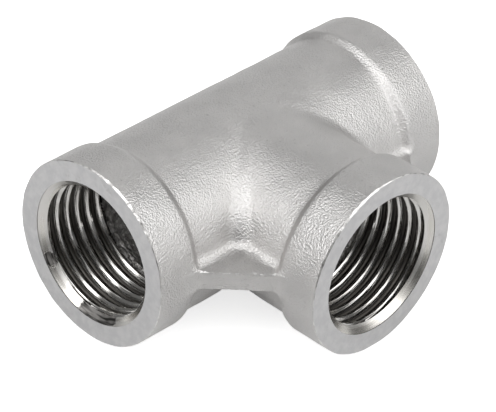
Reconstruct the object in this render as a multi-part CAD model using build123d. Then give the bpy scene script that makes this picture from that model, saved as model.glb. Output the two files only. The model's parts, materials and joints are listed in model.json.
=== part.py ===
from build123d import *
import math
import os

# Half inch threaded tee, cast in one piece. Millimetres.
# The origin is where the three port axes cross. The run lies along X, the branch points along -Y.

# Port thread: parallel pipe thread, half inch nominal, 14 turns to the inch
THREAD_MAJOR_DIAMETER = 20.955
THREAD_PITCH = 25.4 / 14
THREAD_DEPTH_PER_PITCH = 0.640327  # depth of the 55 degree rounded thread form, as a share of its pitch
THREAD_REACH = 12.0  # from the machined face to the end of the tapped bore
MOUTH_CHAMFER = 1.0  # how far the mouth opens beyond the crests of the thread, on the radius

# Lengths, from the crossing of the axes to each machined face
RUN_CENTRE_TO_END = 27.0
BRANCH_CENTRE_TO_END = 27.0

# Bands, the raised collars round the ports
BAND_METAL = 2.7725  # metal outside the root of the thread, on the radius
BAND_WIDTH = 5.9
RIM_BREAK = 0.35  # the small bevel between a band and its machined face
SHOULDER_SLOPE = 42.0  # degrees, of the step from a body up to its band
SHOULDER_ROUNDING = 0.9  # at the foot of that slope

# Bodies between the bands
RUN_BAND_STEP = 0.75  # how far a band of the run stands proud of the run's body
BRANCH_SLIMMING = 0.3  # how much slimmer the branch's body is than the run's, on the radius
BODY_WALL = 2.6
SADDLE_FILLET = 2.8  # outside, where the branch grows out of the run
CORE_FILLET = 0.8  # inside, round the mouth of the branch's core

# Corner webs, the flat gussets between the bands
WEB_THICKNESS = 2.8
WEB_FILLET = 1.0
WEB_EDGE_INSET = 0.5  # how far the web's free edge lies inside the outside of the bands

# Worked out from the sizes above
thread_root_radius = THREAD_MAJOR_DIAMETER / 2
thread_bore_radius = thread_root_radius - THREAD_DEPTH_PER_PITCH * THREAD_PITCH
mouth_radius = thread_bore_radius + MOUTH_CHAMFER
band_radius = thread_root_radius + BAND_METAL
run_body_radius = band_radius - RUN_BAND_STEP
branch_body_radius = run_body_radius - BRANCH_SLIMMING
run_core_radius = run_body_radius - BODY_WALL
branch_core_radius = branch_body_radius - BODY_WALL
web_edge_offset = band_radius - WEB_EDGE_INSET

# How closely a point must lie on a surface to count as on it
TOLERANCE = 1e-3


def along_branch(shape):
    """Turns a shape that was made along +X so that it lies along -Y."""
    return Rot(0, 0, -90) * shape


def arm_outside(centre_to_end, body_radius):
    """One arm of the fitting without its bore: body, shoulder, band and rim, turned about +X. The shoulder
    leaves the body on an arc and climbs to the band at a steady slope."""
    band_start = centre_to_end - BAND_WIDTH
    slope = math.radians(SHOULDER_SLOPE)
    corner = band_start - (band_radius - body_radius) / math.tan(slope)
    tangent = SHOULDER_ROUNDING * math.tan(slope / 2)
    arc_start = (corner - tangent, body_radius)
    arc_end = (corner + tangent * math.cos(slope), body_radius + tangent * math.sin(slope))
    outline = [
        Line((0, 0), (0, body_radius)),
        Line((0, body_radius), arc_start),
        RadiusArc(arc_start, arc_end, -SHOULDER_ROUNDING),
        Line(arc_end, (band_start, band_radius)),
        Line((band_start, band_radius), (centre_to_end - RIM_BREAK, band_radius)),
        Line((centre_to_end - RIM_BREAK, band_radius), (centre_to_end, band_radius - RIM_BREAK)),
        Line((centre_to_end, band_radius - RIM_BREAK), (centre_to_end, 0)),
        Line((centre_to_end, 0), (0, 0)),
    ]
    return revolve(make_face(outline), Axis.X)


def saddle_edges(shape, run_radius, branch_radius):
    """The edges where a branch meets a run, found by the distance of their middles from both axes."""

    def on_both(edge):
        middle = edge @ 0.5
        off_run = math.hypot(middle.Y, middle.Z) - run_radius
        off_branch = math.hypot(middle.X, middle.Z) - branch_radius
        return abs(off_run) < TOLERANCE and abs(off_branch) < TOLERANCE

    return shape.edges().filter_by(on_both)


def plain_cross(run_length, run_radius, branch_length, branch_radius, fillet_radius):
    """Two crossing round bars with a fillet round the saddle where they meet."""
    run = Rot(0, 90, 0) * Cylinder(run_radius, 2 * run_length)
    branch = Cylinder(branch_radius, branch_length, align=(Align.CENTER, Align.CENTER, Align.MIN))
    cross = run + Rot(90, 0, 0) * branch
    return fillet(saddle_edges(cross, run_radius, branch_radius), fillet_radius)


def web_plate(run_length, branch_length):
    """A plate in the plane of the axes that fills both corners. Its free edges are cut to shape later."""
    plate = Box(2 * run_length, branch_length, WEB_THICKNESS)
    return Pos(0, -branch_length / 2, 0) * plate


def web_root_edges(shape, run_length, branch_length):
    """The edges of the plate's two flat faces where they meet the bodies."""

    def at_root(edge):
        box = edge.bounding_box()
        flat = abs(abs(box.min.Z) - WEB_THICKNESS / 2) < TOLERANCE and abs(box.size.Z) < TOLERANCE
        middle = edge @ 0.5
        on_end = abs(middle.X) > run_length - TOLERANCE or middle.Y < -branch_length + TOLERANCE
        return flat and not on_end

    return shape.edges().filter_by(at_root)


def corner_cutter(side, run_length, branch_length):
    """Everything outside a web's free edge, a straight line from the run's band to the branch's band."""
    run_corner = (side * (RUN_CENTRE_TO_END - BAND_WIDTH), -web_edge_offset)
    branch_corner = (side * web_edge_offset, -(BRANCH_CENTRE_TO_END - BAND_WIDTH))
    far_x = side * 2 * run_length
    far_y = -2 * branch_length
    outline = Polyline(
        run_corner,
        branch_corner,
        (branch_corner[0], far_y),
        (far_x, far_y),
        (far_x, run_corner[1]),
        close=True,
    )
    return extrude(make_face(outline), WEB_THICKNESS, both=True)


def core_end(centre_to_end, core_radius):
    """Where an arm's cast core ends, at the foot of the 45 degree slope that leads to the tapped bore."""
    return centre_to_end - THREAD_REACH - abs(core_radius - thread_bore_radius)


def arm_void(centre_to_end, core_radius):
    """The hollow of one arm: chamfered mouth, tapped bore and cast core, turned about +X."""
    outline = Polyline(
        (0, 0),
        (0, core_radius),
        (core_end(centre_to_end, core_radius), core_radius),
        (centre_to_end - THREAD_REACH, thread_bore_radius),
        (centre_to_end - MOUTH_CHAMFER, thread_bore_radius),
        (centre_to_end, mouth_radius),
        (centre_to_end, 0),
        close=True,
    )
    return revolve(make_face(outline), Axis.X)


def casting():
    """The outside of the tee: filleted bodies, webs and the three banded arms."""
    run_length = RUN_CENTRE_TO_END - BAND_WIDTH / 2
    branch_length = BRANCH_CENTRE_TO_END - BAND_WIDTH / 2
    body = plain_cross(run_length, run_body_radius, branch_length, branch_body_radius, SADDLE_FILLET)
    body = body + web_plate(run_length, branch_length)
    body = fillet(web_root_edges(body, run_length, branch_length), WEB_FILLET)
    for side in (-1, 1):
        body = body - corner_cutter(side, run_length, branch_length)
    run_arm = arm_outside(RUN_CENTRE_TO_END, run_body_radius)
    branch_arm = arm_outside(BRANCH_CENTRE_TO_END, branch_body_radius)
    return body + run_arm + Rot(0, 0, 180) * run_arm + along_branch(branch_arm)


def waterway():
    """The hollow of the tee: three ports and the core that joins them."""
    run_length = core_end(RUN_CENTRE_TO_END, run_core_radius)
    branch_length = core_end(BRANCH_CENTRE_TO_END, branch_core_radius)
    core = plain_cross(run_length, run_core_radius, branch_length, branch_core_radius, CORE_FILLET)
    run_void = arm_void(RUN_CENTRE_TO_END, run_core_radius)
    branch_void = arm_void(BRANCH_CENTRE_TO_END, branch_core_radius)
    return core + run_void + Rot(0, 0, 180) * run_void + along_branch(branch_void)


def main():
    os.makedirs("parts", exist_ok=True)
    tee = casting() - waterway()
    tee_body = tee.solids().sort_by(SortBy.VOLUME)[-1]
    export_step(tee_body, "parts/tee_body.step")


main()
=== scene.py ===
import bpy
import json
import math
import numpy as np
from mathutils import Matrix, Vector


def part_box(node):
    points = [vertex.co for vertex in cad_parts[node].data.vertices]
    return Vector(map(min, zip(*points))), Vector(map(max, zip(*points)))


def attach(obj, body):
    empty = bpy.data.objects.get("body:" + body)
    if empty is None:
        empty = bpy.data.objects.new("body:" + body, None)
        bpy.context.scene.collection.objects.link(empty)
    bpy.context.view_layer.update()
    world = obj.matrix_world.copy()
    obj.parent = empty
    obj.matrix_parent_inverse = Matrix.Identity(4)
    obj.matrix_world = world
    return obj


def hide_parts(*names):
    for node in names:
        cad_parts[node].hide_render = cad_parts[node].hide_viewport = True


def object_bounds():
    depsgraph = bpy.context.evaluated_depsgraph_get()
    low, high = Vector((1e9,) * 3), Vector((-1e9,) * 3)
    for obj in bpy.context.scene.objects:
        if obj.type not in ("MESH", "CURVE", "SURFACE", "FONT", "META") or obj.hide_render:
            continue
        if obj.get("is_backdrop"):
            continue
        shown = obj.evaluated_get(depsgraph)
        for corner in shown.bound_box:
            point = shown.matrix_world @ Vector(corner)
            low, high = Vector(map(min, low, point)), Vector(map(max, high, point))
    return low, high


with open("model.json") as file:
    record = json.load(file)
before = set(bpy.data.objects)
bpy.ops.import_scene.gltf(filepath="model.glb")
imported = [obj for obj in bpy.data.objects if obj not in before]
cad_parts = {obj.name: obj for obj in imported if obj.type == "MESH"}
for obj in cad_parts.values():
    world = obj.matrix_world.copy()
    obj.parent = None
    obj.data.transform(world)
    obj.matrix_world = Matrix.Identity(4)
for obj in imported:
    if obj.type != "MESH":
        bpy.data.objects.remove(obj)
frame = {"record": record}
cad_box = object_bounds()

# All shapes are worked out in millimetres and scaled to metres when a mesh is made.
MM = 0.001

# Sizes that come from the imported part
lowest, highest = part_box("tee_body")
RUN_REACH = highest.x / MM
BRANCH_REACH = -lowest.y / MM
BAND_RADIUS = highest.z / MM
port = next(m for m in frame["record"]["mounts"] if m["name"] == "branch_port")
CREST_RADIUS = port["dims"]["r_mm"]

# Outside of the casting
BAND_WIDTH = 5.9
SHOULDER_LENGTH = 1.5
RUN_BODY_RADIUS = BAND_RADIUS - 0.75
BRANCH_BODY_RADIUS = RUN_BODY_RADIUS - 0.3
SADDLE_FILLET = 2.8
WEB_THICKNESS = 2.8
WEB_FILLET = 1.35
WEB_EDGE_ROUNDING = 0.2
WEB_EDGE_INSET = 0.5
WEB_LIP = 0.15
WEB_LIP_WIDTH = 0.16
RIM_BREAK = 0.3

# Inside of the casting
BODY_WALL = 2.6
CORE_FILLET = 0.8
MOUTH_CHAMFER = 1.0
MOUTH_RADIUS = CREST_RADIUS + MOUTH_CHAMFER
MOUTH_STEP = 0.12  # from the face straight in to the start of the chamfer
TAPPED_DEPTH = 12.0
FULL_THREAD_DEPTH = 11.3
THREAD_FINISH_DEPTH = FULL_THREAD_DEPTH + 0.1  # where the look of the thread gives way to that of the core

# Parallel pipe thread, half inch: 14 turns to the inch, 55 degree form
PITCH = 25.4 / 14
FLANK_SLOPE = math.radians(60)
CREST_ROUNDING = 0.13  # in pitches, like the next
ROOT_ROUNDING = 0.2
THREAD_LEAD_IN = 0.25  # over which the thread reaches its depth behind the chamfer
THREAD_FADE = 1.6  # height that the thread loses with each millimetre beyond its full depth
CREST_CLEARANCE = 0.05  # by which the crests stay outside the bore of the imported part

# Columns of the grids, counted round a quarter turn
WEB_COLUMNS = (3, 3, 4, 5)
PLAIN_COLUMNS = 31
BACK_COLUMNS = 34

# Rows between an arm's seam and its shoulder, on the shoulder and on the band
SEAM_ROWS = 24
SHOULDER_ROWS = 10
BAND_ROWS = 6

# How strongly the rows crowd towards the seam
SEAM_CROWDING = 1.5

# Rays are searched for a surface between these distances from where they start, in so many halvings
SKIN_SEARCH = (9, 21)
CORE_SEARCH = (4, 13.5)
HALVINGS = 40

# Where the search for a seam starts along an arm, and how often it is repeated
SEAM_GUESS = 10.0
SEAM_ROUNDS = 12

# Points closer together than this become one
WELD_GRID = 1e-4

# Edges sharper than this, in degrees, stay sharp
SHARP_ANGLE = 38

# Finishes in the order of the mesh's material slots
SKIN, EDGE, FACE, MOUTH, THREAD, CORE = range(6)


# Shapes

def rounded_union(gap_a, gap_b, radius):
    """Gap to two joined bodies: the smaller gap, with the corner where both gaps are under the radius
    filled by a quarter circle of that radius."""
    corner = np.hypot(np.maximum(radius - gap_a, 0), np.maximum(radius - gap_b, 0))
    return np.maximum(radius, np.minimum(gap_a, gap_b)) - corner


def rolled_radius(fillet, cosine):
    """Radius that makes the quarter circle above as deep as a ball of the fillet's radius would leave it,
    where the two surfaces' normals have that cosine: it fades out where the surfaces run together."""
    half = np.sqrt(np.clip((1 + cosine) / 2, 0, 1))
    return fillet * (1 - half) / (1 - math.sqrt(0.5)) + 1e-6


def crossing_gap(x, y, z, run_radius, branch_radius, fillet):
    """Gap to two crossing round bars: distance from the run's axis less its radius, joined to distance
    from the branch's axis less its radius, the branch being cut off at the run's axis."""
    off_run = np.hypot(y, z)
    off_branch = np.hypot(x, z)
    cosine = z * z / np.maximum(off_run * off_branch, 1e-6)
    branch_gap = np.maximum(off_branch - branch_radius, y)
    return rounded_union(off_run - run_radius, branch_gap, rolled_radius(fillet, cosine))


def stepped_radius(along, reach, body_radius):
    """Radius of an arm's outside: body, then a smooth S-step over the shoulder's length, then band."""
    start = reach - BAND_WIDTH - SHOULDER_LENGTH
    t = np.clip((along - start) / SHOULDER_LENGTH, 0, 1)
    return body_radius + (BAND_RADIUS - body_radius) * t * t * (3 - 2 * t)


def web_line():
    """Distance from the origin to a web's free edge, along the diagonal between run and branch."""
    return (RUN_REACH - BAND_WIDTH + BAND_RADIUS - WEB_EDGE_INSET) / math.sqrt(2)


def web_gap(x, y, z):
    """Gap to the two corner webs: a plate about z = 0 on the branch's side, ending at the diagonal line,
    with its long edges rounded, and on those a thin uneven lip that the dressing of the edge left."""
    over = np.abs(z) - WEB_THICKNESS / 2 + WEB_EDGE_ROUNDING
    out = (np.abs(x) - y) / math.sqrt(2) - web_line() + WEB_EDGE_ROUNDING
    gap = np.hypot(np.maximum(over, 0), np.maximum(out, 0)) + np.minimum(np.maximum(over, out), 0)
    across = np.abs(x) + y
    uneven = 0.6 + 0.25 * np.sin(3.1 * across + 0.4) + 0.25 * np.sin(7.3 * across + x)
    lip = WEB_LIP * uneven * np.exp(-(over ** 2 + (out - WEB_EDGE_ROUNDING) ** 2) / WEB_LIP_WIDTH ** 2)
    return np.maximum(gap - WEB_EDGE_ROUNDING - lip, y)


def unevenness(x, y, z):
    """Slow waviness that a wax pattern leaves: the sum of three products of sines of the place, a few
    hundredths of a millimetre high."""
    a = np.sin(0.61 * x + 0.37 * y + 1.3) * np.sin(0.53 * z - 0.29 * x + 0.4)
    b = np.sin(1.13 * y - 0.71 * z + 2.1) * np.sin(0.97 * x + 0.83 * z)
    c = np.sin(2.3 * x + 1.1 * z) * np.sin(2.1 * y - 1.7 * z + 0.9)
    return 0.03 * a + 0.022 * b + 0.008 * c


def skin_gap(x, y, z):
    """Gap to the outside of the casting: the two stepped bars, their saddle and the webs with their roots."""
    run_radius = stepped_radius(np.abs(x), RUN_REACH, RUN_BODY_RADIUS)
    branch_radius = stepped_radius(-y, BRANCH_REACH, BRANCH_BODY_RADIUS)
    bars = crossing_gap(x, y, z, run_radius, branch_radius, SADDLE_FILLET)
    return rounded_union(bars, web_gap(x, y, z), WEB_FILLET) - unevenness(x, y, z)


def core_gap(x, y, z):
    """The same for the hollow: negative inside the cored waterway."""
    run_radius = RUN_BODY_RADIUS - BODY_WALL
    branch_radius = BRANCH_BODY_RADIUS - BODY_WALL
    return crossing_gap(x, y, z, run_radius, branch_radius, CORE_FILLET) + 2 * unevenness(y, z, x)


def hit(gap, start, direction, near, far):
    """How far along each ray the gap changes sign, by halving the stretch between near and far."""
    low = np.full(direction.shape[:-1], float(near))
    high = np.full(direction.shape[:-1], float(far))
    for _ in range(HALVINGS):
        middle = (low + high) / 2
        x, y, z = np.moveaxis(start + direction * middle[..., None], -1, 0)
        inside = gap(x, y, z) < 0
        low = np.where(inside, middle, low)
        high = np.where(inside, high, middle)
    return (low + high) / 2


# Arms: each has axes of its own, along (out of the port), side (towards the neighbour) and up. Its back, the
# side away from that neighbour, has a web or is plain. The burr on its rim lies at an angle from side to up
# and spreads over another to both sides, in degrees. The thread starts at a share of a turn.
ARMS = {
    "right": {
        "along": (1, 0, 0),
        "side": (0, -1, 0),
        "reach": RUN_REACH,
        "back": "plain",
        "burr": (200, 30),
        "thread_start": 0.1,
    },
    "left": {
        "along": (-1, 0, 0),
        "side": (0, -1, 0),
        "reach": RUN_REACH,
        "back": "plain",
        "burr": (66, 28),
        "thread_start": 0.3,
    },
    "branch": {
        "along": (0, -1, 0),
        "side": (1, 0, 0),
        "reach": BRANCH_REACH,
        "back": "web",
        "burr": (128, 32),
        "thread_start": 0.3,
    },
}


def web_angles(along):
    """Angles of the columns of a quarter turn that starts at a web, for each place along the arm. Knots
    lie at the web's middle, both sides of its edge, its root and the end of its fillet; columns are
    spread evenly between them."""
    mean_radius = (RUN_BODY_RADIUS + BRANCH_BODY_RADIUS) / 2
    short = np.clip(mean_radius + SADDLE_FILLET - along, 0, SADDLE_FILLET)
    body = mean_radius + SADDLE_FILLET - np.sqrt(SADDLE_FILLET ** 2 - short ** 2)
    edge = np.maximum(web_line() * math.sqrt(2) - along, body)
    half = WEB_THICKNESS / 2
    edge_angle = np.arctan(half / edge)
    spread = WEB_EDGE_ROUNDING / edge
    root_angle = np.maximum(np.arctan(half / (body + WEB_FILLET)), edge_angle + 2 * spread)
    fillet_angle = np.maximum(np.arctan((half + WEB_FILLET) / body), root_angle + 2 * spread)
    knots = [0 * edge, edge_angle - spread, edge_angle + spread, root_angle, fillet_angle]
    counts = WEB_COLUMNS + (PLAIN_COLUMNS,)
    ends = knots[1:] + [0 * edge + math.pi / 2]
    parts = []
    for first, last, count in zip(knots, ends, counts):
        share = np.arange(count) / count
        parts.append(first[..., None] + (last - first)[..., None] * share)
    parts.append(ends[-1][..., None])
    return np.concatenate(parts, axis=-1)


def even_angles(count):
    """Angles of a quarter turn split evenly."""
    return np.linspace(0, math.pi / 2, count + 1)


def quarter(kind, along):
    """Angles of one quarter's columns from the side direction up, one row for each place along the arm."""
    if kind == "plain":
        return np.broadcast_to(even_angles(BACK_COLUMNS), along.shape + (BACK_COLUMNS + 1,))
    return web_angles(along)


def own_angles(kind, along):
    """A quarter's angles where every column has a place along the arm of its own."""
    columns = along.shape[-1]
    every = quarter(kind, along)
    return every[..., np.arange(columns), np.arange(columns)]


def quarter_count(kind):
    """Number of steps round a quarter turn."""
    return BACK_COLUMNS if kind == "plain" else sum(WEB_COLUMNS) + PLAIN_COLUMNS


def place(arm, along, angle, radius):
    """Point of an arm: along its axis, then out by the radius, turned by the angle from side to up."""
    a, s, up = (np.array(v, float) for v in (arm["along"], arm["side"], (0, 0, 1)))
    across = np.cos(angle)[..., None] * s + np.sin(angle)[..., None] * up
    return np.asarray(along)[..., None] * a + np.asarray(radius)[..., None] * across


def seam(arm, kind, gap, near, far):
    """Where a quarter of an arm meets its neighbour. Beside a web that is the diagonal plane between the
    two axes, found by rays from the origin whose angles are those of the columns where they land; on the
    plain side it is the plane through the origin square to the arm. Returns places along, angles and
    radii."""
    a, s, up = (np.array(v, float) for v in (arm["along"], arm["side"], (0, 0, 1)))
    slant = 0 * a if kind == "plain" else a
    along = np.full(quarter_count(kind) + 1, SEAM_GUESS)
    for _ in range(SEAM_ROUNDS):
        angle = own_angles(kind, along)
        cosine = np.cos(angle)
        ray = cosine[:, None] * (slant + s) + np.sin(angle)[:, None] * up
        radius = hit(gap, np.zeros(3), ray, near, far)
        along = radius * cosine if kind == "web" else 0 * radius
        along[-1] = 0
    return along, angle, radius


def shell_quarter(arm, kind, stops, clustered, gap, near, far):
    """One quarter of an arm's wall as rows from the seam outwards. Between the seam and the first stop the
    rows move from one to the other, closer together near the seam; then one row lies at each stop.
    The columns follow the web while clustered is 1 and are even where it is 0."""
    start, start_angle, start_radius = seam(arm, kind, gap, near, far)
    share = np.linspace(0, 1, SEAM_ROWS + 1)[:, None] ** SEAM_CROWDING
    first = start + (stops[0] - start) * share
    later = np.broadcast_to(np.array(stops[1:])[:, None], (len(stops) - 1, len(start)))
    along = np.concatenate([first, later])
    angle = own_angles(kind, along)
    angle[0] = start_angle
    weight = np.concatenate([np.ones(SEAM_ROWS + 1), clustered])[:, None]
    angle = weight * angle + (1 - weight) * even_angles(len(start) - 1)
    axis = np.array(arm["along"], float)
    outward = place(arm, np.zeros_like(along), angle, np.ones_like(along))
    radius = hit(gap, along[..., None] * axis, outward, near, far)
    radius[0] = start_radius
    return along, angle, radius


def around(arm, make):
    """Joins four quarters into one full turn of columns. make(arm, kind) gives the quarter that starts at
    a side; the second and third quarters start at the opposite side, and mirrored ones run downwards."""
    front = make(arm, "web")
    other = dict(arm, side=tuple(-v for v in arm["side"]))
    back = make(other, arm["back"])
    along = np.concatenate([front[0][:, :-1], back[0][:, :0:-1], back[0][:, :-1], front[0][:, :0:-1]], 1)
    angle = np.concatenate([
        front[1][:, :-1],
        math.pi - back[1][:, :0:-1],
        math.pi + back[1][:, :-1],
        2 * math.pi - front[1][:, :0:-1],
    ], 1)
    radius = np.concatenate([front[2][:, :-1], back[2][:, :0:-1], back[2][:, :-1], front[2][:, :0:-1]], 1)
    return along, angle, radius


def outside_rows(arm):
    """Rows of an arm's outside from the seam to the start of the rim's bevel."""
    reach = arm["reach"]
    band_start = reach - BAND_WIDTH
    shoulder = np.linspace(band_start - SHOULDER_LENGTH, band_start, SHOULDER_ROWS)
    band = np.linspace(band_start, reach - RIM_BREAK, BAND_ROWS + 1)[1:]
    stops = np.concatenate([shoulder, band])
    clustered = np.concatenate([np.ones(len(shoulder) - 1), np.linspace(1, 0, len(band) + 1)[1:]])

    def make(one, kind):
        """One quarter of the outside."""
        return shell_quarter(one, kind, stops, clustered, skin_gap, *SKIN_SEARCH)

    return around(arm, make)


def core_rows(arm):
    """Rows of the cored hollow from the inner seam to the foot of the slope behind the thread."""
    core_radius = RUN_BODY_RADIUS - BODY_WALL
    stops = [arm["reach"] - TAPPED_DEPTH - (core_radius - CREST_RADIUS)]

    def make(one, kind):
        """One quarter of the hollow."""
        return shell_quarter(one, kind, stops, [], core_gap, *CORE_SEARCH)

    return around(arm, make)


def thread_wave(phase):
    """Height of the cut above the thread's crest line, in mm, for a phase that is 0 at a root and 0.5 at a
    crest. From the crest outwards: a small arc, a straight flank, then the wider arc of the root. All
    lengths are counted in pitches until the end."""
    away = np.abs(phase % 1 - 0.5)
    sine, cosine, tangent = math.sin(FLANK_SLOPE), math.cos(FLANK_SLOPE), math.tan(FLANK_SLOPE)
    crest = CREST_ROUNDING - np.sqrt(np.maximum(CREST_ROUNDING ** 2 - away ** 2, 0))
    flank_start = CREST_ROUNDING * (1 - cosine)
    flank = flank_start + (away - CREST_ROUNDING * sine) * tangent
    flank_end = flank_start + (0.5 - (CREST_ROUNDING + ROOT_ROUNDING) * sine) * tangent
    sag = np.sqrt(np.maximum(ROOT_ROUNDING ** 2 - (0.5 - away) ** 2, 0))
    root = flank_end + sag - ROOT_ROUNDING * cosine
    wave = np.where(away < CREST_ROUNDING * sine, crest, flank)
    return PITCH * np.where(away > 0.5 - ROOT_ROUNDING * sine, root, wave)


# Phases at which a turn of the thread has its rows: closer together round the crest
THREAD_PHASES = (
    0, 0.07, 0.14, 0.21, 0.3, 0.38, 0.43, 0.46, 0.48, 0.5, 0.52, 0.54, 0.57, 0.62, 0.7, 0.79, 0.86, 0.93,
)


def hand(arm):
    """1 where an arm's along, side and up are a right-handed set, and -1 where they are its mirror image."""
    return round(np.linalg.det(np.array([arm["along"], arm["side"], (0, 0, 1)], float)))


def threaded_rows(arm, angle):
    """Rows of a port from the chamfer to the end of the tapped bore. Each row follows the helix: its depth
    is the row's phase times the pitch, less the pitch times the turn, and it is held between the chamfer
    and the bore's end. The radius is the larger of the bore and the thread's cut, which deepens over a
    short way behind the chamfer and fades out over the last turn."""
    turn = angle / (2 * math.pi)
    if hand(arm) < 0:
        turn = 1 - turn
    lead = 1 - turn + arm["thread_start"]
    turns = math.ceil(TAPPED_DEPTH / PITCH) + 2
    phase = (np.arange(turns)[:, None] + np.array(THREAD_PHASES)).ravel()[:, None]
    depth = np.clip((phase - lead) * PITCH, MOUTH_CHAMFER, TAPPED_DEPTH)
    start = np.clip((depth - MOUTH_CHAMFER) / THREAD_LEAD_IN, 0, 1)
    wave = thread_wave(depth / PITCH + lead) * start
    fade = np.maximum(depth - FULL_THREAD_DEPTH, 0) * THREAD_FADE
    cut = CREST_RADIUS + wave - fade
    radius = np.maximum(cut, CREST_RADIUS + CREST_CLEARANCE)
    along = arm["reach"] - depth
    return along, np.broadcast_to(angle, along.shape), radius


def rim_burr(angle, burr):
    """How strongly the cut of the face has torn the rim, from 0 to 1: a bell round the burr's place."""
    middle, spread = (math.radians(v) for v in burr)
    away = np.angle(np.exp(1j * (angle - middle)))
    return np.exp(-(away / spread) ** 4)


def rim_width(angle, burr):
    """Width of the rim's bevel round a port: uneven as the cut meets the rough skin, wider at the burr."""
    wave = np.sin(7 * angle + 1.1) + np.sin(19 * angle + 0.4) + 0.8 * np.sin(31 * angle + 2.2)
    torn = rim_burr(angle, burr) * (0.45 + 0.15 * np.sin(43 * angle) + 0.12 * np.sin(61 * angle + 1.0))
    return RIM_BREAK * np.clip(0.3 + 0.05 * wave + torn, 0.15, 0.98)


def arm_surface(name):
    """All the rows of one arm: the outside from the seam to the band's end, three on the rim's bevel, three
    across the face, two on the mouth's chamfer, the thread, and the core back to the inner seam. Returns
    the points, and the finish between each row and the next."""
    arm = ARMS[name]
    reach = arm["reach"]
    along, angle, radius = outside_rows(arm)
    rows = [place(arm, along, angle, radius)]
    finish = [SKIN] * (len(along) - 1)
    even = angle[-1]
    bevel = rim_width(even, arm["burr"])
    edge = radius[-1]
    for share in (0, 0.5, 1):
        rows.append(place(arm, reach - bevel * (1 - share), even, edge - bevel * share)[None])
        finish.append(SKIN if share == 0 else EDGE)
    for share in (0.3, 0.7, 1.0):
        ring = (edge - bevel) * (1 - share) + MOUTH_RADIUS * share
        rows.append(place(arm, reach, even, ring)[None])
        finish.append(FACE)
    for share in (0, 0.5):
        depth = MOUTH_STEP * (1 - share) + MOUTH_CHAMFER * share
        cone = MOUTH_RADIUS * (1 - share) + CREST_RADIUS * share
        rows.append(place(arm, reach - depth, even, cone)[None])
        finish.append(MOUTH)
    t_along, t_angle, t_radius = threaded_rows(arm, even)
    rows.append(place(arm, t_along, t_angle, t_radius))
    finish += [MOUTH] + [THREAD] * (len(t_along) - 1)
    c_along, c_angle, c_radius = core_rows(arm)
    rows.append(place(arm, c_along[::-1], c_angle[::-1], c_radius[::-1]))
    finish += [CORE] * len(c_along)
    return np.concatenate(rows), np.array(finish)


def grid_triangles(arm, finish, columns):
    """Two triangles for each cell of an arm's grid, which closes on itself round its columns. Where the
    rows follow the helix, the last column meets the first one a turn of rows further on."""
    i, j = np.meshgrid(np.arange(len(finish)), np.arange(columns), indexing="ij")
    threaded = np.flatnonzero(finish == THREAD)
    first, last = threaded[0], threaded[-1] + 1
    closing = (j == columns - 1) & (i >= first) & (i < last)
    step = hand(arm) * len(THREAD_PHASES)
    after = np.where(closing, np.clip(i + step, first, last), i)
    below = np.where(closing, np.clip(i + 1 + step, first, last), i + 1)
    beside = (j + 1) % columns
    a = i * columns + j
    b = after * columns + beside
    c = below * columns + beside
    d = (i + 1) * columns + j
    corners = np.stack([a, b, c, a, c, d], -1).reshape(-1, 3)
    return corners[:, ::-1] if hand(arm) < 0 else corners


def weld(points, triangles, finish):
    """Makes one vertex of all that round to the same place, and drops the triangles that this closes up."""
    grid = np.round(points / WELD_GRID).astype(np.int64)
    _, first, index = np.unique(grid, axis=0, return_index=True, return_inverse=True)
    index = index.reshape(-1)
    triangles = index[triangles]
    a, b, c = triangles.T
    open_ones = (a != b) & (b != c) & (a != c)
    return points[first], triangles[open_ones], finish[open_ones]


def port_measures(points):
    """Depth into the nearest port and distance from its axis, for each point, in millimetres."""
    x, y, z = points.T
    branch = -y > np.abs(x)
    depth = np.where(branch, BRANCH_REACH + y, RUN_REACH - np.abs(x))
    radius = np.where(branch, np.hypot(x, z), np.hypot(y, z))
    return depth, radius


def tee_mesh():
    """The whole casting as one closed mesh: three arms of grid rows, welded where they meet. Returns points,
    triangles and the finish of each triangle."""
    points, triangles, finishes = [], [], []
    first = 0
    for name in ARMS:
        rows, finish = arm_surface(name)
        triangles.append(first + grid_triangles(ARMS[name], finish, rows.shape[1]))
        finishes.append(np.repeat(finish, 2 * rows.shape[1]))
        points.append(rows.reshape(-1, 3))
        first += rows.shape[0] * rows.shape[1]
    parts = (np.concatenate(part) for part in (points, triangles, finishes))
    points, triangles, finish = weld(*parts)
    depth = port_measures(points[triangles].mean(1))[0]
    beyond = (finish == THREAD) & (depth > THREAD_FINISH_DEPTH)
    return points, triangles, np.where(beyond, CORE, finish)


def make_tee():
    """Puts the casting's mesh into the scene, smooth except at its cut edges."""
    points, triangles, finish = tee_mesh()
    mesh = bpy.data.meshes.new("cast_tee")
    mesh.vertices.add(len(points))
    mesh.vertices.foreach_set("co", (points * MM).ravel())
    mesh.loops.add(triangles.size)
    mesh.loops.foreach_set("vertex_index", triangles.ravel())
    mesh.polygons.add(len(triangles))
    mesh.polygons.foreach_set("loop_start", np.arange(len(triangles)) * 3)
    mesh.polygons.foreach_set("material_index", finish)
    mesh.update(calc_edges=True)
    mesh.validate()
    mesh.set_sharp_from_angle(angle=math.radians(SHARP_ANGLE))
    for name, values in zip(("port_depth", "port_radius"), port_measures(points)):
        mesh.attributes.new(name, "FLOAT", "POINT").data.foreach_set("value", values)
    tee = bpy.data.objects.new("cast_tee", mesh)
    bpy.context.scene.collection.objects.link(tee)
    return tee


tee = make_tee()


# Finishes

def new_group(name, inputs, outputs):
    """An empty node group with those named values in and out. Returns it with its two end nodes."""
    group = bpy.data.node_groups.new(name, "ShaderNodeTree")
    for label, value in inputs.items():
        socket = group.interface.new_socket(label, in_out="INPUT", socket_type="NodeSocketFloat")
        socket.default_value = value
    for label in outputs:
        group.interface.new_socket(label, in_out="OUTPUT", socket_type="NodeSocketFloat")
    return group, group.nodes.new("NodeGroupInput"), group.nodes.new("NodeGroupOutput")


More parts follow.
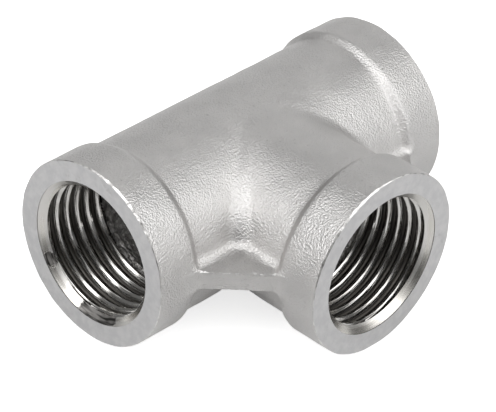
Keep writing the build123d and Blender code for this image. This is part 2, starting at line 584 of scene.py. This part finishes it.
def put(tree, kind, settings=None, values=None):
    """Adds one node, sets its properties, and sets or links its inputs."""
    node = tree.nodes.new(kind)
    for label, value in (settings or {}).items():
        setattr(node, label, value)
    for label, value in (values or {}).items():
        if isinstance(value, bpy.types.NodeSocket):
            tree.links.new(value, node.inputs[label])
        else:
            node.inputs[label].default_value = value
    return node


def spot_in_mm(tree):
    """Place on the piece in millimetres."""
    spot = put(tree, "ShaderNodeTexCoord").outputs["Object"]
    return put(tree, "ShaderNodeVectorMath", {"operation": "SCALE"}, {0: spot, "Scale": 1000.0}).outputs[0]


def noise(tree, spot, scale, detail=2.0, roughness=0.5):
    """Value of a noise over the place, between about 0.25 and 0.75."""
    values = {"Vector": spot, "Scale": scale, "Detail": detail, "Roughness": roughness}
    return put(tree, "ShaderNodeTexNoise", {"noise_dimensions": "3D"}, values).outputs["Fac"]


def between(tree, value, low, high, first=0.0, last=1.0):
    """Value stretched from one range to another, held at its ends, with soft turns."""
    values = {"Value": value, "From Min": low, "From Max": high, "To Min": first, "To Max": last}
    return put(tree, "ShaderNodeMapRange", {"interpolation_type": "SMOOTHSTEP"}, values).outputs["Result"]


def combine(tree, operation, first, second, third=None):
    """One step of arithmetic on values."""
    values = {0: first, 1: second}
    if third is not None:
        values[2] = third
    return put(tree, "ShaderNodeMath", {"operation": operation}, values).outputs[0]


def cast_grain():
    """Grain that the mould and the blasting leave: small round dimples over finer noise. Puts out the
    grain's height, and a mask of the deeper pits."""
    inputs = {"Grains per mm": 3.0, "Fine share": 0.4}
    group, given, result = new_group("cast_grain", inputs, ("Height", "Pits"))
    spot = spot_in_mm(group)
    dimples = put(group, "ShaderNodeTexVoronoi", {"feature": "SMOOTH_F1"}, {
        "Vector": spot,
        "Scale": given.outputs["Grains per mm"],
        "Smoothness": 0.6,
    }).outputs["Distance"]
    fine_scale = combine(group, "MULTIPLY", given.outputs["Grains per mm"], 2.3)
    fine = noise(group, spot, fine_scale)
    height = combine(group, "MULTIPLY_ADD", fine, given.outputs["Fine share"], dimples)
    group.links.new(height, result.inputs["Height"])
    pit_scale = combine(group, "MULTIPLY", given.outputs["Grains per mm"], 0.45)
    pits = between(group, noise(group, spot, pit_scale, 3.0, 0.6), 0.36, 0.27)
    group.links.new(pits, result.inputs["Pits"])
    return group


def turning_lines():
    """Marks that a tool leaves round a port's axis: noise over the distance from the axis, drawn out
    along the turn. Puts out the lines' height, and a broader streak for gloss."""
    inputs = {"Lines per mm": 6.0, "Breaks per mm": 0.12}
    group, given, result = new_group("turning_lines", inputs, ("Height", "Streak"))
    radius = put(group, "ShaderNodeAttribute", {"attribute_name": "port_radius"}).outputs["Fac"]
    slow = put(group, "ShaderNodeVectorMath", {"operation": "SCALE"}, {
        0: spot_in_mm(group),
        "Scale": given.outputs["Breaks per mm"],
    }).outputs[0]
    across = put(group, "ShaderNodeCombineXYZ", None, {
        "X": combine(group, "MULTIPLY", radius, given.outputs["Lines per mm"]),
    }).outputs[0]
    stretched = put(group, "ShaderNodeVectorMath", {"operation": "ADD"}, {0: slow, 1: across}).outputs[0]
    group.links.new(noise(group, stretched, 1.0, 2.0, 0.6), result.inputs["Height"])
    group.links.new(between(group, noise(group, stretched, 0.4, 1.0), 0.35, 0.65), result.inputs["Streak"])
    return group


def stain():
    """Slow patches of tone, as heat and handling leave on bare metal."""
    group, given, result = new_group("stain", {"Patches per mm": 0.2}, ("Mask",))
    patches = noise(group, spot_in_mm(group), given.outputs["Patches per mm"], 3.0, 0.6)
    group.links.new(between(group, patches, 0.35, 0.68), result.inputs["Mask"])
    return group


GRAIN = cast_grain()
LINES = turning_lines()
STAIN = stain()


def use_group(tree, group, values):
    """Places a node group with values of its own."""
    return put(tree, "ShaderNodeGroup", {"node_tree": group}, values).outputs


# Places of the colours among a mixing node's inputs, and of the mixed colour among its outputs
MIX_FIRST, MIX_SECOND, MIX_RESULT = 6, 7, 2


def blend(tree, mask, first, second):
    """Colour between two colours by a mask. Each of the two is a triple or another blend."""
    first, second = ((*colour, 1) if isinstance(colour, tuple) else colour for colour in (first, second))
    values = {"Factor": mask, MIX_FIRST: first, MIX_SECOND: second}
    return put(tree, "ShaderNodeMix", {"data_type": "RGBA"}, values).outputs[MIX_RESULT]


def bare_metal(name):
    """A new bare metal. Returns the material, its tree and its shader."""
    material = bpy.data.materials.new(name)
    material.use_nodes = True
    surface = material.node_tree.nodes["Principled BSDF"]
    surface.inputs["Metallic"].default_value = 1.0
    return material, material.node_tree, surface


def raise_by(tree, surface, height, millimetres):
    """Bumps the surface by a height that is worth so many millimetres at 1."""
    bump = put(tree, "ShaderNodeBump", None, {"Height": height, "Distance": millimetres * MM})
    tree.links.new(bump.outputs["Normal"], surface.inputs["Normal"])


def blasted_skin():
    """As-cast stainless after blasting: satin, finely grained, with a few darker pits."""
    material, tree, surface = bare_metal("blasted_skin")
    grain = use_group(tree, GRAIN, {"Grains per mm": 3.9, "Fine share": 0.75})
    patches = use_group(tree, STAIN, {"Patches per mm": 0.16})
    metal = blend(tree, patches["Mask"], (0.61, 0.6, 0.592), (0.658, 0.646, 0.636))
    tone = blend(tree, combine(tree, "MULTIPLY", grain["Pits"], 0.35), metal, (0.3, 0.29, 0.28))
    tree.links.new(tone, surface.inputs["Base Color"])
    tree.links.new(between(tree, patches["Mask"], 0, 1, 0.36, 0.4), surface.inputs["Roughness"])
    raise_by(tree, surface, grain["Height"], 0.076)
    return material


def broken_edge():
    """The narrow bevel where the lathe has broken the rim: bare bright metal, torn here and there."""
    material, tree, surface = bare_metal("broken_edge")
    tears = noise(tree, spot_in_mm(tree), 1.2, 3.0, 0.6)
    tone = blend(tree, between(tree, tears, 0.35, 0.6), (0.5, 0.49, 0.48), (0.78, 0.77, 0.75))
    tree.links.new(tone, surface.inputs["Base Color"])
    tree.links.new(between(tree, tears, 0.3, 0.7, 0.3, 0.45), surface.inputs["Roughness"])
    raise_by(tree, surface, tears, 0.12)
    return material


def turned_face():
    """The flat ring round a port: satin from the lathe, with faint rings, small dents and a dull mottle."""
    material, tree, surface = bare_metal("turned_face")
    rings = use_group(tree, LINES, {"Lines per mm": 7.0, "Breaks per mm": 0.1})
    dents = use_group(tree, GRAIN, {"Grains per mm": 1.6, "Fine share": 0.5})
    patches = use_group(tree, STAIN, {"Patches per mm": 0.7})
    metal = blend(tree, patches["Mask"], (0.56, 0.557, 0.562), (0.625, 0.62, 0.62))
    tone = blend(tree, combine(tree, "MULTIPLY", dents["Pits"], 0.3), metal, (0.35, 0.34, 0.33))
    tree.links.new(tone, surface.inputs["Base Color"])
    tree.links.new(between(tree, rings["Streak"], 0, 1, 0.3, 0.38), surface.inputs["Roughness"])
    height = combine(tree, "MULTIPLY_ADD", dents["Height"], 2.0, rings["Height"])
    raise_by(tree, surface, height, 0.006)
    return material


# Where the tool has chattered on a chamfer: places in mm and how far the marks reach
CHATTER = (
    ((-26.5, -1.3, -9.8), 3.4),
    ((-26.6, 8.2, -5.5), 1.1),
)
CHATTER_BORDER = 0.15


def chatter_mask(tree):
    """1 near each place where the tool has chattered, with a ragged border."""
    spot = spot_in_mm(tree)
    ragged = combine(tree, "MULTIPLY_ADD", noise(tree, spot, 2.0), 1.2, -0.6)
    mask = 0.0
    for place_in_mm, reach in CHATTER:
        values = {0: spot, 1: place_in_mm}
        away = put(tree, "ShaderNodeVectorMath", {"operation": "DISTANCE"}, values).outputs["Value"]
        uneven = combine(tree, "ADD", away, ragged)
        near = between(tree, uneven, reach + CHATTER_BORDER, reach - CHATTER_BORDER)
        mask = combine(tree, "MAXIMUM", near, mask)
    return mask


def turned_mouth():
    """The chamfer at the mouth: brighter than the face and slightly warm, dull and scored where the tool
    has chattered."""
    material, tree, surface = bare_metal("turned_mouth")
    rings = use_group(tree, LINES, {"Lines per mm": 5.0, "Breaks per mm": 0.25})
    scores = use_group(tree, LINES, {"Lines per mm": 9.0, "Breaks per mm": 1.1})
    marks = chatter_mask(tree)
    metal = blend(tree, rings["Streak"], (0.66, 0.64, 0.6), (0.72, 0.705, 0.68))
    scored = blend(tree, scores["Streak"], (0.03, 0.029, 0.027), (0.28, 0.27, 0.26))
    tree.links.new(blend(tree, marks, metal, scored), surface.inputs["Base Color"])
    smooth = between(tree, rings["Streak"], 0, 1, 0.24, 0.32)
    tree.links.new(combine(tree, "MULTIPLY_ADD", marks, 0.2, smooth), surface.inputs["Roughness"])
    scoring = combine(tree, "MULTIPLY", marks, scores["Height"])
    raise_by(tree, surface, combine(tree, "MULTIPLY_ADD", scoring, 6.0, rings["Height"]), 0.01)
    return material


# Height above the thread's crests at which the painted shade in the roots starts, and at which it is full
ROOT_SHADE_START = 0.5
ROOT_SHADE_FULL = 0.85


def cut_thread():
    """The thread: bright crests and flanks with the tap's lines along each turn, and dull roots darkened by
    painted shade."""
    material, tree, surface = bare_metal("cut_thread")
    rings = use_group(tree, LINES, {"Lines per mm": 4.5, "Breaks per mm": 0.2})
    patches = use_group(tree, STAIN, {"Patches per mm": 0.5})
    radius = put(tree, "ShaderNodeAttribute", {"attribute_name": "port_radius"}).outputs["Fac"]
    ragged = combine(tree, "MULTIPLY_ADD", rings["Height"], 0.3, radius)
    # Painted shade: the base colour turns nearly black from the flanks down into the thread's roots
    root = between(tree, ragged, CREST_RADIUS + ROOT_SHADE_START, CREST_RADIUS + ROOT_SHADE_FULL)
    metal = blend(tree, patches["Mask"], (0.58, 0.565, 0.54), (0.7, 0.69, 0.67))
    tree.links.new(blend(tree, root, metal, (0.085, 0.08, 0.073)), surface.inputs["Base Color"])
    smooth = between(tree, rings["Streak"], 0, 1, 0.08, 0.15)
    tree.links.new(combine(tree, "MULTIPLY_ADD", root, 0.25, smooth), surface.inputs["Roughness"])
    raise_by(tree, surface, rings["Height"], 0.045)
    return material


def rough_core():
    """The wall that the mould's core left: dull, dark and coarse."""
    material, tree, surface = bare_metal("rough_core")
    grain = use_group(tree, GRAIN, {"Grains per mm": 1.6, "Fine share": 0.7})
    patches = use_group(tree, STAIN, {"Patches per mm": 1.2})
    tone = blend(tree, patches["Mask"], (0.26, 0.25, 0.24), (0.5, 0.49, 0.475))
    tree.links.new(tone, surface.inputs["Base Color"])
    tree.links.new(between(tree, grain["Pits"], 0, 1, 0.5, 0.65), surface.inputs["Roughness"])
    raise_by(tree, surface, grain["Height"], 0.3)
    return material


for finish in (blasted_skin, broken_edge, turned_face, turned_mouth, cut_thread, rough_core):
    tee.data.materials.append(finish())

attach(tee, "root")
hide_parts("tee_body")


# Floor, light and camera

# The direction that the front of the studio faces, in degrees from -Y towards +X
FRONT = -47.79

# The floor: how far it lies under the piece and how far it runs to the front and to the other sides, in mm,
# how pale it is, and how brightly it glows to the camera and in mirrors
FLOOR_CLEARANCE = 0.06
FLOOR_FRONT = 55.0
FLOOR_BACK = 1500.0
FLOOR_TONE = 0.76
FLOOR_GLOW = 0.72
FLOOR_GLOW_IN_METAL = 0.02


def studio_axes():
    """Unit vectors towards the front of the studio and towards its right, as seen from the front."""
    turn = math.radians(FRONT)
    return np.array([math.sin(turn), -math.cos(turn), 0]), np.array([math.cos(turn), math.sin(turn), 0])


def make_floor():
    """A pale table top that ends a hand's breadth in front of the piece and runs far back. A glow makes it
    white to the camera and paler to metal and glass; the rest of its brightness is light that falls on it,
    so it keeps the shadow. It lies just clear of the casting's waviness."""
    front, right = studio_axes()
    corners = []
    for ahead, across in ((1, -1), (1, 1), (-1, 1), (-1, -1)):
        reach = FLOOR_FRONT if ahead > 0 else -FLOOR_BACK
        corner = (front * reach + right * across * FLOOR_BACK) * MM
        corners.append((corner[0], corner[1], lowest.z - FLOOR_CLEARANCE * MM))
    mesh = bpy.data.meshes.new("floor")
    mesh.from_pydata(corners, [], [(0, 1, 2, 3)])
    floor = bpy.data.objects.new("floor", mesh)
    bpy.context.scene.collection.objects.link(floor)
    material = bpy.data.materials.new("pale_floor")
    material.use_nodes = True
    tree = material.node_tree
    surface = tree.nodes["Principled BSDF"]
    surface.inputs["Base Color"].default_value = (FLOOR_TONE, FLOOR_TONE, FLOOR_TONE, 1)
    surface.inputs["Roughness"].default_value = 1.0
    surface.inputs["Specular IOR Level"].default_value = 0.0
    surface.inputs["Emission Color"].default_value = (1, 1, 1, 1)
    path = put(tree, "ShaderNodeLightPath").outputs
    mirrored = combine(tree, "MAXIMUM", path["Is Glossy Ray"], path["Is Transmission Ray"])
    in_metal = combine(tree, "MULTIPLY", mirrored, FLOOR_GLOW_IN_METAL)
    glow = combine(tree, "MULTIPLY_ADD", path["Is Camera Ray"], FLOOR_GLOW, in_metal)
    tree.links.new(glow, surface.inputs["Emission Strength"])
    mesh.materials.append(material)
    return floor


# Light in the empty room, where 1 is white, above the table's level and below it, and the height of the
# narrow strip in which one turns into the other, as a share of the distance
ROOM = 0.17
BELOW_TABLE = 0.2
TABLE_LINE = 0.01

# Panels of light round the piece: left and right end as degrees from the front of the studio, low and high
# end as degrees above the table, and how much light they add to the room's. The dark camera side takes
# some away.
PANELS = {
    "left_box": (-64, -44, 6, 40, 3.7),
    "right_box": (47, 75, 2, 35, 2.5),
    "front_gap": (-46, 44, 21, 38, 0.38),
    "camera_side": (-42, 44, 2, 19, -0.12),
    "overhead_left": (-60, -8, 38, 65, 3.75),
    "overhead_middle": (-8, 12, 38, 65, 1.5),
    "overhead_right": (12, 72, 38, 65, 2.6),
    "left_wing": (-130, -66, 35, 63, 1.2),
    "right_wing": (74, 115, 26, 62, 1.95),
    "back_wall": (146, 202, 10, 50, 0.82),
}
PANEL_FADE = 5.0  # degrees, to both sides of a panel's edge


def panel_mask(tree, turn, height, left, right, low, high):
    """1 where a direction lies on a panel, fading out at its edges. The direction is given as its turn from
    the front and its height, the sine of its angle above the table."""
    fade = math.radians(PANEL_FADE)
    middle, half = math.radians((left + right) / 2), math.radians((right - left) / 2)
    centred = combine(tree, "SUBTRACT", turn, middle)
    away = combine(tree, "ABSOLUTE", combine(tree, "WRAP", centred, math.pi, -math.pi), 0)
    beside = between(tree, away, half + fade, half - fade)
    low_end = [math.sin(math.radians(low + step)) for step in (-PANEL_FADE, PANEL_FADE)]
    high_end = [math.sin(math.radians(high + step)) for step in (PANEL_FADE, -PANEL_FADE)]
    above = between(tree, height, *low_end)
    under = between(tree, height, *high_end)
    return combine(tree, "MULTIPLY", beside, combine(tree, "MULTIPLY", above, under))


def make_world():
    """Light from all round: a dim room with panels of light in front, overhead, at the sides and behind.
    The camera sees plain white."""
    world = bpy.data.worlds.new("studio")
    world.use_nodes = True
    bpy.context.scene.world = world
    tree = world.node_tree
    direction = put(tree, "ShaderNodeTexCoord").outputs["Generated"]

    def share_of(axis):
        """How far the direction goes along an axis."""
        values = {0: direction, 1: tuple(axis)}
        return put(tree, "ShaderNodeVectorMath", {"operation": "DOT_PRODUCT"}, values).outputs["Value"]

    ahead, sideways = studio_axes()
    turn = combine(tree, "ARCTAN2", share_of(sideways), share_of(ahead))
    height = share_of((0, 0, 1))
    light = between(tree, height, -TABLE_LINE, TABLE_LINE, BELOW_TABLE, ROOM)
    for left, right, low, high, brightness in PANELS.values():
        mask = panel_mask(tree, turn, height, left, right, low, high)
        light = combine(tree, "MULTIPLY_ADD", mask, brightness, light)
    camera_ray = put(tree, "ShaderNodeLightPath").outputs["Is Camera Ray"]
    strength = put(tree, "ShaderNodeMix", None, {"Factor": camera_ray, "A": light, "B": 1.0})
    background = tree.nodes["Background"]
    background.inputs["Color"].default_value = (1, 1, 1, 1)
    tree.links.new(strength.outputs["Result"], background.inputs["Strength"])


# The camera, solved from the rims and the outline in the photograph. Angles in degrees, distance in mm.
CAMERA_AZIMUTH = FRONT
CAMERA_ELEVATION = 35.073
CAMERA_ROLL = 3.69
CAMERA_DISTANCE = 400.67
AIM_ACROSS = 1.699
AIM_UP = -4.012
FOCAL_PIXELS = 2949.6
PHOTO_WIDTH = 496


def make_camera():
    """Looks back along azimuth and elevation, rolled about its line of sight."""
    a, e, r = (math.radians(v) for v in (CAMERA_AZIMUTH, CAMERA_ELEVATION, CAMERA_ROLL))
    back = np.array([math.sin(a) * math.cos(e), -math.cos(a) * math.cos(e), math.sin(e)])
    right = np.array([math.cos(a), math.sin(a), 0])
    up = np.cross(back, right)
    turned_right = right * math.cos(r) + up * math.sin(r)
    turned_up = -right * math.sin(r) + up * math.cos(r)
    axes = np.stack([turned_right, turned_up, back], 1)
    spot = axes @ np.array([AIM_ACROSS, AIM_UP, CAMERA_DISTANCE]) * MM
    data = bpy.data.cameras.new("camera")
    data.sensor_width = 36
    data.lens = FOCAL_PIXELS / PHOTO_WIDTH * data.sensor_width
    data.clip_start = 0.01
    camera = bpy.data.objects.new("camera", data)
    whole = np.eye(4)
    whole[:3, :3] = axes
    whole[:3, 3] = spot
    camera.matrix_world = Matrix(whole.tolist())
    bpy.context.scene.collection.objects.link(camera)
    bpy.context.scene.camera = camera


make_floor()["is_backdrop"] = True
make_world()
make_camera()
bpy.context.scene.view_settings.view_transform = "Standard"

boxes = {"cad": cad_box, "visual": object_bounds()}
{name: [list(corner) for corner in box] for name, box in boxes.items()}
